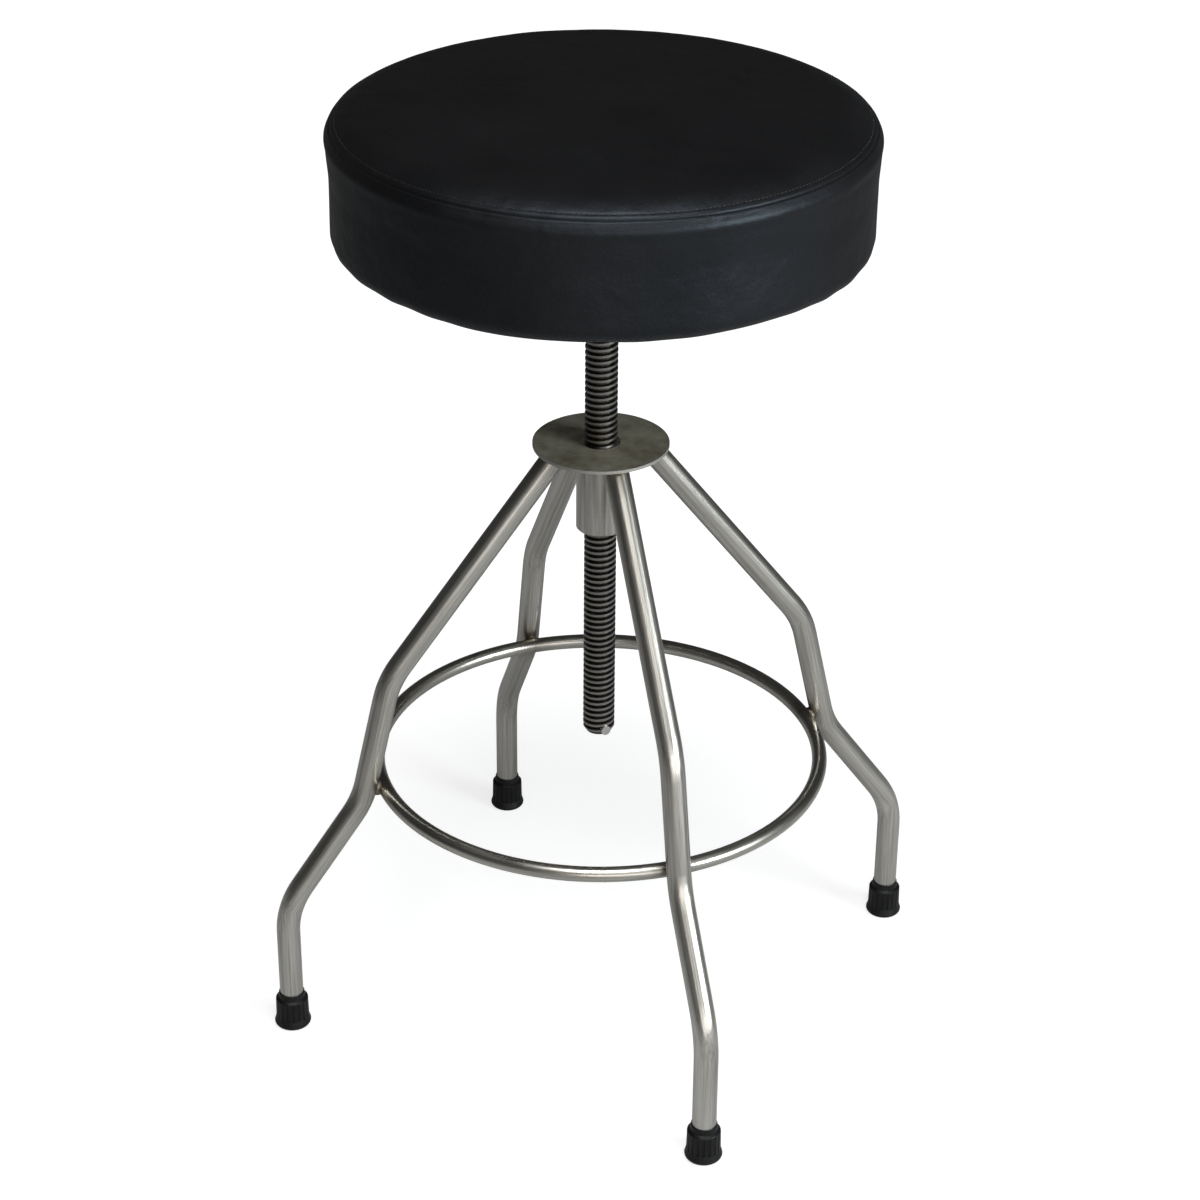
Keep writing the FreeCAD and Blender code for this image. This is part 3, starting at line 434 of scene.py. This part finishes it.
# The stitches. Each ring of one is (share of its length, share of its radius, rise in radii).
STITCH_PITCH = 0.0034
STITCH_LENGTH = 0.0025
STITCH_RADIUS = 0.00032
STITCH_SIDES = 6
STITCH_SHAPE = ((-0.5, 0.35, -0.9), (-0.36, 0.85, -0.1), (0.0, 1.0, 0.35), (0.36, 0.85, -0.1),
                (0.5, 0.35, -0.9))


def arc(start, end, radius, steps):
    """Points of an arc from start to end, start left out, that bulges to the left of the way."""
    chord = end - start
    left = Vector((-chord.y, chord.x)).normalized()
    depth = math.sqrt(radius ** 2 - (chord.length / 2) ** 2)
    centre = (start + end) / 2 - left * depth
    first = math.atan2(start.y - centre.y, start.x - centre.x)
    last = math.atan2(end.y - centre.y, end.x - centre.x)
    turn = (last - first + math.pi) % (2 * math.pi) - math.pi
    return [centre + Vector((math.cos(first + turn * i / steps), math.sin(first + turn * i / steps))) * radius
            for i in range(1, steps + 1)]


def seat_profile(fineness):
    """The seat's outline from the crown's centre over the seam to the hem, and the seam's place in it."""
    crown_edge = Vector((SEAM_RADIUS - SHOULDER_WIDTH, SEAT_TOP - CROWN_RISE))
    seam = Vector((SEAM_RADIUS, SEAM_HEIGHT))
    widest = Vector((SEAT_RADIUS, SEAM_HEIGHT - ROLL_DROP))
    drawn_in = Vector((SEAT_RADIUS - DRAWN_IN, SEAM_HEIGHT - DRAWN_DROP))
    corner = Vector((SEAT_RADIUS - DRAWN_IN, SEAT_BOTTOM + CORNER_RADIUS))
    under = Vector((SEAT_RADIUS - DRAWN_IN - CORNER_RADIUS, SEAT_BOTTOM))
    crown_radius = (crown_edge.x ** 2 + CROWN_RISE ** 2) / (2 * CROWN_RISE)
    points = [Vector((0.0, SEAT_TOP))]
    points += arc(points[0], crown_edge, crown_radius, 3 * fineness)
    points += arc(crown_edge, seam, SHOULDER_RADIUS, 3 * fineness)
    seam_index = len(points) - 1
    roll_inset = SEAT_RADIUS - SEAM_RADIUS
    points += arc(seam, widest, (roll_inset ** 2 + ROLL_DROP ** 2) / (2 * roll_inset), 2 * fineness)
    for i in range(1, 3 * fineness + 1):
        share = i / (3 * fineness)
        eased = (1 - math.cos(math.pi * share)) / 2
        points.append(Vector((widest.x + (drawn_in.x - widest.x) * eased,
                              widest.y + (drawn_in.y - widest.y) * share)))
    points += [drawn_in.lerp(corner, i / (2 * fineness)) for i in range(1, 2 * fineness + 1)]
    points += arc(corner, under, CORNER_RADIUS, 2 * fineness)
    points += [under.lerp(Vector((HEM_RADIUS, SEAT_BOTTOM)), i / fineness) for i in range(1, fineness + 1)]
    return points, seam_index


class Outline:
    """The outline measured from the seam: less than nothing on the top panel, more on the side band."""

    def __init__(self):
        self.points, seam_index = seat_profile(PROFILE_FINENESS)
        self.marks = [0.0]
        for before, after in zip(self.points, self.points[1:]):
            self.marks.append(self.marks[-1] + (after - before).length)
        self.seam = self.marks[seam_index]

    def at(self, along):
        """The point of the outline there and the way out of the seat."""
        mark = min(max(along + self.seam, 0.0), self.marks[-1])
        low = min(max(bisect.bisect_right(self.marks, mark) - 1, 0), len(self.marks) - 2)
        before, after = self.points[low], self.points[low + 1]
        share = (mark - self.marks[low]) / (self.marks[low + 1] - self.marks[low])
        way = self.points[min(low + 3, len(self.points) - 1)] - self.points[max(low - 2, 0)]
        return before.lerp(after, share), Vector((-way.y, way.x)).normalized()

    def steps(self, sign, widest):
        """Distances from the seam to one end, close together at the seam."""
        end = self.seam if sign < 0 else self.marks[-1] - self.seam
        found, step = [0.0], SEAM_STEP
        while found[-1] + step < end:
            found.append(found[-1] + step)
            if found[-1] > SEAM_STEP_REACH:
                step = min(step * STEP_GROWTH, widest)
        found[-1] = end
        return [sign * along for along in found]


def turned(name, rings, pole=None):
    """A mesh of rings of points, from the middle outward, with a point in its middle if one is given."""
    verts = [pole] if pole else []
    first = len(verts)
    for ring in rings:
        verts += ring
    count = len(rings[0])
    faces = []
    for i in range(count):
        j = (i + 1) % count
        if pole:
            faces.append((0, first + i, first + j))
        for k in range(len(rings) - 1):
            low, high = first + k * count, first + (k + 1) * count
            faces.append((low + i, high + i, high + j, low + j))
    mesh = bpy.data.meshes.new(name)
    mesh.from_pydata(verts, [], faces)
    piece = bpy.data.objects.new(name, mesh)
    bpy.context.scene.collection.objects.link(piece)
    return piece


def around_axis(point, angle):
    """A point of the outline turned about the upright axis."""
    return Vector((point.x * math.cos(angle), point.x * math.sin(angle), point.y))


def apply_modifiers(piece):
    """Turns what the modifiers give into the piece's own mesh."""
    graph = bpy.context.evaluated_depsgraph_get()
    mesh = bpy.data.meshes.new_from_object(piece.evaluated_get(graph))
    piece.modifiers.clear()
    piece.data = mesh


def stuffed_form():
    """A closed cushion blown up as cloth: held at the seam and at the staples, it swells between them."""
    profile, _ = seat_profile(CUSHION_FINENESS)
    angles = [2 * math.pi * i / CUSHION_STEPS for i in range(CUSHION_STEPS)]
    inset = [Vector((max(p.x - CUSHION_INSET, 0.0), p.y - (CUSHION_INSET if p.y > SEAM_HEIGHT else 0.0)))
             for p in profile]
    inset.append(Vector((CUSHION_POLE, SEAT_BOTTOM)))
    form = turned("stuffed_form", [[around_axis(p, a) for a in angles] for p in inset[1:]],
                  around_axis(inset[0], 0.0))
    mesh = bmesh.new()
    mesh.from_mesh(form.data)
    bmesh.ops.holes_fill(mesh, edges=[e for e in mesh.edges if e.is_boundary])
    mesh.to_mesh(form.data)
    mesh.free()
    remesh = form.modifiers.new("even", "REMESH")
    remesh.mode = "VOXEL"
    remesh.voxel_size = VOXEL
    apply_modifiers(form)
    rest = [v.co.copy() for v in form.data.vertices]
    held = form.vertex_groups.new(name="held")
    for vertex in form.data.vertices:
        distance = math.hypot(vertex.co.x, vertex.co.y)
        gather = abs(math.sin(math.atan2(vertex.co.y, vertex.co.x) * STAPLES / 2))
        hold = SEAT_RADIUS - HEM_HOLD + HEM_GATHER * (1 - gather)
        if vertex.co.z < SEAT_BOTTOM + VOXEL / 2 and distance < hold:
            held.add([vertex.index], 1.0, "REPLACE")
        elif abs(vertex.co.z - SEAM_HEIGHT) < VOXEL * 0.8 and distance > SEAM_RADIUS - SEAM_HOLD:
            held.add([vertex.index], SEAM_GRIP, "REPLACE")
    settings = form.modifiers.new("cloth", "CLOTH").settings
    settings.quality = 5
    settings.mass = 0.3
    settings.use_pressure = True
    settings.uniform_pressure_force = CUSHION_PRESSURE
    settings.effector_weights.gravity = 0.0
    settings.vertex_group_mass = "held"
    settings.tension_stiffness = 25.0
    settings.compression_stiffness = 25.0
    settings.shear_stiffness = 15.0
    settings.bending_stiffness = 2.0
    for number in range(1, CUSHION_FRAMES + 1):
        bpy.context.scene.frame_set(number)
    apply_modifiers(form)
    bpy.context.scene.frame_set(1)
    for vertex, start in zip(form.data.vertices, rest):
        move = vertex.co - start
        if move.length > CUSHION_CAP:
            vertex.co = start + move * (CUSHION_CAP / move.length)
    return form


def swelling(outline, places):
    """How far the stuffed form stands out from its own mean, at each place and angle."""
    form = stuffed_form()
    tree = BVHTree.FromPolygons([v.co for v in form.data.vertices], [p.vertices for p in form.data.polygons])
    rows = []
    for along in places:
        point, out = outline.at(along)
        row = []
        for i in range(ROUND_STEPS):
            angle = 2 * math.pi * i / ROUND_STEPS
            way = around_axis(out, angle)
            hit = tree.ray_cast(around_axis(point, angle) - way * PROBE, way, 2 * PROBE)
            row.append(hit[3] - PROBE if hit[0] else 0.0)
        mean = sum(row) / ROUND_STEPS
        near = range(-SWELL_SMOOTHING, SWELL_SMOOTHING + 1)
        rows.append([sum(row[(i + j) % ROUND_STEPS] for j in near) / len(near) - mean
                     for i in range(ROUND_STEPS)])
    bpy.data.objects.remove(form)
    return rows


def seam_relief(along):
    """How far the cover stands in (minus) or out at a distance from the seam."""
    return sum(height * math.exp(-((along - place) / width) ** 2) for height, place, width in SEAM_WAVES)


def pucker(angle, height):
    """How far the lower edge is drawn in at each staple, fading upward. Uneven, as pulled by hand."""
    share = max(0.0, 1.0 - (height - SEAT_BOTTOM) / PUCKER_REACH)
    beat = math.cos(angle * STAPLES + 0.7 * math.sin(3 * angle) + 0.5 * math.sin(5 * angle + 1.3))
    strength = 0.45 + 0.30 * math.sin(2 * angle + 0.6) + 0.25 * math.sin(7 * angle + 2.1)
    slow = 0.0004 * math.sin(4 * angle + 0.9) + 0.0003 * math.sin(9 * angle + 2.6)
    return share ** 2 * (PUCKER_DEPTH * strength * beat + slow)


def sag(angle, height):
    """Slow unevenness of the hand-made cover."""
    middle = math.exp(-((height - SEAT_BOTTOM - SAG_HEIGHT) / SAG_SPREAD) ** 2)
    return middle * SAG_DEPTH * (math.sin(3 * angle + 0.4) + 0.6 * math.sin(8 * angle + 1.1))


def cover_rings(outline, places, swell, depth=0.0):
    """The rings of one panel of the cover at the given places, a depth below its face."""
    rings = []
    for along, row in zip(places, swell):
        point, out = outline.at(along)
        flat = 0.0 if point.y < SEAT_BOTTOM + 1e-5 else 1.0
        ring = []
        for i in range(ROUND_STEPS):
            angle = 2 * math.pi * i / ROUND_STEPS
            move = row[i] * SWELL_GAIN + sag(angle, point.y) + pucker(angle, point.y)
            move = move * flat + seam_relief(along) - depth
            ring.append(around_axis(point + out * move, angle))
        rings.append(ring)
    return rings


def seam_fold(outline, swell, side):
    """The panel's edge, turned into the seat at the seam."""
    place = [side * FOLD_GAP]
    return [cover_rings(outline, place, [swell], depth)[0] for depth in (FOLD_DEPTH * 0.5, FOLD_DEPTH)]


def finish_shell(piece, material):
    """A real thickness inward, smooth shading and the material."""
    solid = piece.modifiers.new("thickness", "SOLIDIFY")
    solid.thickness = COVER_THICKNESS
    solid.offset = -1.0
    apply_modifiers(piece)
    for polygon in piece.data.polygons:
        polygon.use_smooth = True
    piece.data.materials.clear()
    piece.data.materials.append(material)


def stitches(outline, places, swell, material):
    """Short threads let into the top panel along its seam."""
    nearest = min(range(len(places)), key=lambda k: abs(places[k] - TOPSTITCH))
    ring = cover_rings(outline, [places[nearest]], [swell[nearest]])[0]
    point, out = outline.at(places[nearest])
    count = round(2 * math.pi * point.x / STITCH_PITCH)
    verts, faces = [], []
    for n in range(count):
        turn = n / count * ROUND_STEPS
        low = int(turn)
        middle = ring[low].lerp(ring[(low + 1) % ROUND_STEPS], turn - low)
        angle = 2 * math.pi * n / count
        way = Vector((-math.sin(angle), math.cos(angle), 0.0))
        up = around_axis(out, angle)
        across = way.cross(up)
        base = len(verts)
        for share, girth, rise in STITCH_SHAPE:
            centre = middle + way * (share * STITCH_LENGTH) + up * (rise * STITCH_RADIUS)
            for side in range(STITCH_SIDES):
                lean = 2 * math.pi * side / STITCH_SIDES
                spoke = up * math.cos(lean) + across * math.sin(lean)
                verts.append(centre + spoke * girth * STITCH_RADIUS)
        last = base + (len(STITCH_SHAPE) - 1) * STITCH_SIDES
        for before in range(base, last, STITCH_SIDES):
            after = before + STITCH_SIDES
            for side in range(STITCH_SIDES):
                following = (side + 1) % STITCH_SIDES
                faces.append((before + side, before + following, after + following, after + side))
        faces.append(tuple(base + side for side in reversed(range(STITCH_SIDES))))
        faces.append(tuple(last + side for side in range(STITCH_SIDES)))
    mesh = bpy.data.meshes.new("seat_stitches")
    mesh.from_pydata(verts, [], faces)
    mesh.materials.append(material)
    piece = bpy.data.objects.new("seat_stitches", mesh)
    bpy.context.scene.collection.objects.link(piece)
    return piece


def make_seat():
    """The cushion: top panel and side band sewn together, and the stitches beside the seam."""
    outline = Outline()
    up, down = outline.steps(-1, TOP_WIDEST_STEP), outline.steps(1, BAND_WIDEST_STEP)
    swell = swelling(outline, up + down)
    swell_up, swell_down = swell[:len(up)], swell[len(up):]
    vinyl = black_vinyl()
    top_rings = cover_rings(outline, up[-2::-1], swell_up[-2::-1]) + seam_fold(outline, swell_up[0], -1)
    top = turned("seat_top_panel", top_rings, around_axis(outline.points[0], 0.0))
    band_rings = seam_fold(outline, swell_down[0], 1)[::-1] + cover_rings(outline, down, swell_down)
    band = turned("seat_side_band", band_rings)
    for piece, nodes in ((top, ("seat_cover_top", "seat_foam")), (band, ("seat_cover_band",))):
        finish_shell(piece, vinyl)
        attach(piece, "seat")
        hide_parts(*nodes)
    threads = stitches(outline, up, swell_up, stitch_thread())
    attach(threads, "seat")


# Materials for the frame's own nodes

def dress(node, material):
    """Gives a CAD node its material."""
    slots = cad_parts[node].material_slots
    for slot in slots:
        slot.material = material
    if not slots:
        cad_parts[node].data.materials.append(material)


def dress_frame():
    """Every node that stays visible gets its finish."""
    for name, turn in FEET_TURNS.items():
        dress("leg_" + name, leg_steel(name, turn))
    rubber = tip_rubber()
    zinc = plain_steel("zinc_steel", (0.42, 0.42, 0.43), (0.66, 0.66, 0.67), 0.36)
    weld = weld_steel()
    for name in FEET_TURNS:
        dress("rubber_tip_" + name, rubber)
        dress("tip_washer_" + name, zinc)
    for node in ("seat_bolts", "lock_washers", "threaded_inserts", "hem_staples"):
        dress(node, zinc)
    for node in ("ring_welds", "leg_welds", "screw_top_weld"):
        dress(node, weld)
    dress("foot_ring", ring_steel())
    dress("top_disc", disc_steel())
    dress("threaded_hub", hub_steel())
    dress("lead_screw", screw_steel())
    dress("stop_pin", plain_steel("pin_steel", (0.52, 0.51, 0.50), (0.66, 0.65, 0.63), 0.30))
    dress("seat_plate", plain_steel("plate_steel", (0.16, 0.16, 0.165), (0.30, 0.30, 0.305), 0.48))
    dress("seat_board", plywood())
    dress("dust_cloth", dust_cloth())


# The photograph's camera, the floor and the light

CAMERA_PLACE = Vector((0.91024, -1.82798, 1.47855))
CAMERA_TURN = 26.47
CAMERA_YAW = 0.006
CAMERA_PITCH = -28.846
CAMERA_ROLL = 0.47
CAMERA_LENS = 88.157
CAMERA_SENSOR = 36.0
LIGHT_AIM = Vector((0.0, 0.0, 0.45))
# The floor's own grey, the white it adds to what the camera sees at its middle, the distances between which
# that grows to full white, and what it adds to its mirror image in the steel.
FLOOR_HALF = 30.0
FLOOR_PALE = 0.50
SEEN_WHITE = 0.76
SHADOW_REACH = (0.30, 0.85)
MIRRORED_WHITE = 0.05
# The room's pale side, right of the camera, as (how far a direction faces it, level), and what its horizon
# adds as (height of the direction, level).
PALE_TURN = 30.0
PALE_SIDE = ((0.0, 0.035), (0.35, 0.10), (0.70, 0.16), (1.0, 0.50))
HORIZON = ((0.0, 0.05), (0.16, 0.0))


def make_camera():
    """The camera at the photograph's place, solved from the stool's circles."""
    yaw, pitch, roll = (math.radians(a) for a in (CAMERA_YAW, CAMERA_PITCH, CAMERA_ROLL))
    turn = Matrix.Rotation(math.radians(CAMERA_TURN), 3, "Z")
    forward = turn @ Vector((math.sin(yaw) * math.cos(pitch), math.cos(yaw) * math.cos(pitch),
                             math.sin(pitch)))
    right = forward.cross(Vector((0, 0, 1))).normalized()
    up = right.cross(forward)
    rolled_right = right * math.cos(roll) + up * math.sin(roll)
    rolled_up = up * math.cos(roll) - right * math.sin(roll)
    data = bpy.data.cameras.new("camera")
    data.lens = CAMERA_LENS
    data.sensor_width = CAMERA_SENSOR
    camera = bpy.data.objects.new("camera", data)
    axes = (rolled_right, rolled_up, -forward)
    camera.matrix_world = Matrix([(*[axis[row] for axis in axes], CAMERA_PLACE[row]) for row in range(3)]
                                 + [(0, 0, 0, 1)])
    bpy.context.scene.collection.objects.link(camera)
    bpy.context.scene.camera = camera


def make_floor():
    """A plain pale floor that shows white, keeps the stool's soft shadow and is mirrored by the steel."""
    mesh = bpy.data.meshes.new("floor")
    mesh.from_pydata([(x * FLOOR_HALF, y * FLOOR_HALF, 0) for x, y in ((-1, -1), (1, -1), (1, 1), (-1, 1))],
                     [], [(0, 1, 2, 3)])
    floor = bpy.data.objects.new("floor", mesh)
    bpy.context.scene.collection.objects.link(floor)
    m = new_material("floor")
    diffuse = m.add("BsdfDiffuse", Color=(FLOOR_PALE, FLOOR_PALE, FLOOR_PALE, 1.0))
    path = m.add("LightPath").outputs
    fade = m.span(m.vector_maths("LENGTH", m.place), *SHADOW_REACH, SEEN_WHITE, 1.0)
    seen = m.maths("MULTIPLY", path["Is Camera Ray"], fade)
    bounced = m.maths("MAXIMUM", path["Is Glossy Ray"], path["Is Transmission Ray"])
    mirrored = m.maths("MULTIPLY", bounced, MIRRORED_WHITE)
    white = m.add("Emission", Color=(*WHITE, 1.0), Strength=m.maths("MAXIMUM", seen, mirrored))
    both = m.add("AddShader")
    for socket, shader in zip(both.inputs, (diffuse, white)):
        m.put(socket, shader.outputs[0])
    mesh.materials.append(m.finish(both))


def make_world():
    """A room that is pale on the camera's side, dim behind the stool and above, with a soft horizon."""
    world = bpy.data.worlds.new("room")
    bpy.context.scene.world = world
    m = Nodes(world, "OutputWorld")
    way = m.coordinates["Generated"]
    pale_side = math.radians(CAMERA_TURN - 90.0 + PALE_TURN)
    facing = m.vector_maths("DOT_PRODUCT", way, (math.cos(pale_side), math.sin(pale_side), 0.0))
    walls, horizon = [m.ramp(source, *[(position, (level, level, level)) for position, level in stops])
                      for source, stops in ((facing, PALE_SIDE), (m.split(way)[2], HORIZON))]
    seen = m.mix(m.add("LightPath").outputs["Is Camera Ray"], m.mix(1.0, walls, horizon, "ADD"), WHITE)
    m.finish(m.add("Background", Color=seen, Strength=1.0))


def area_light(name, turn, elevation, distance, size, radiance, color, spread=180.0):
    """A soft box that looks at the aim. turn is to the right of the camera, spread its grid's angle."""
    direction = math.radians(CAMERA_TURN - 90.0 + turn)
    lift = math.radians(elevation)
    away = Vector((math.cos(direction) * math.cos(lift), math.sin(direction) * math.cos(lift),
                   math.sin(lift)))
    data = bpy.data.lights.new(name, "AREA")
    data.shape = "RECTANGLE"
    data.size, data.size_y = size
    half = math.radians(spread) / 2
    narrowed = 1.0 - half / math.tan(half) if spread < 180.0 else 1.0
    data.energy = radiance * narrowed * math.pi * size[0] * size[1]
    data.color = color
    data.spread = math.radians(spread)
    light = bpy.data.objects.new(name, data)
    light.location = LIGHT_AIM + away * distance
    light.rotation_euler = away.to_track_quat("Z", "Y").to_euler()
    bpy.context.scene.collection.objects.link(light)


def make_lights():
    """A window to the right, a soft box above, one over the camera and a pale wall behind it."""
    area_light("window_right", 57.0, 15.0, 2.5, (1.0, 1.0), 16.0, (0.90, 0.96, 1.0), 110.0)
    area_light("overhead", 6.0, 72.0, 2.0, (1.0, 0.8), 9.5, (0.97, 0.98, 1.0), 80.0)
    area_light("above_camera", 4.0, 54.0, 2.6, (1.4, 0.9), 4.0, (1.0, 0.99, 0.97), 80.0)
    area_light("wall_behind_camera", 10.0, 11.0, 3.2, (2.0, 1.2), 2.2, (1.0, 0.98, 0.95))


bpy.context.scene.view_settings.view_transform = "Standard"
dress_frame()
make_seat()
make_camera()
make_floor()
make_world()
make_lights()
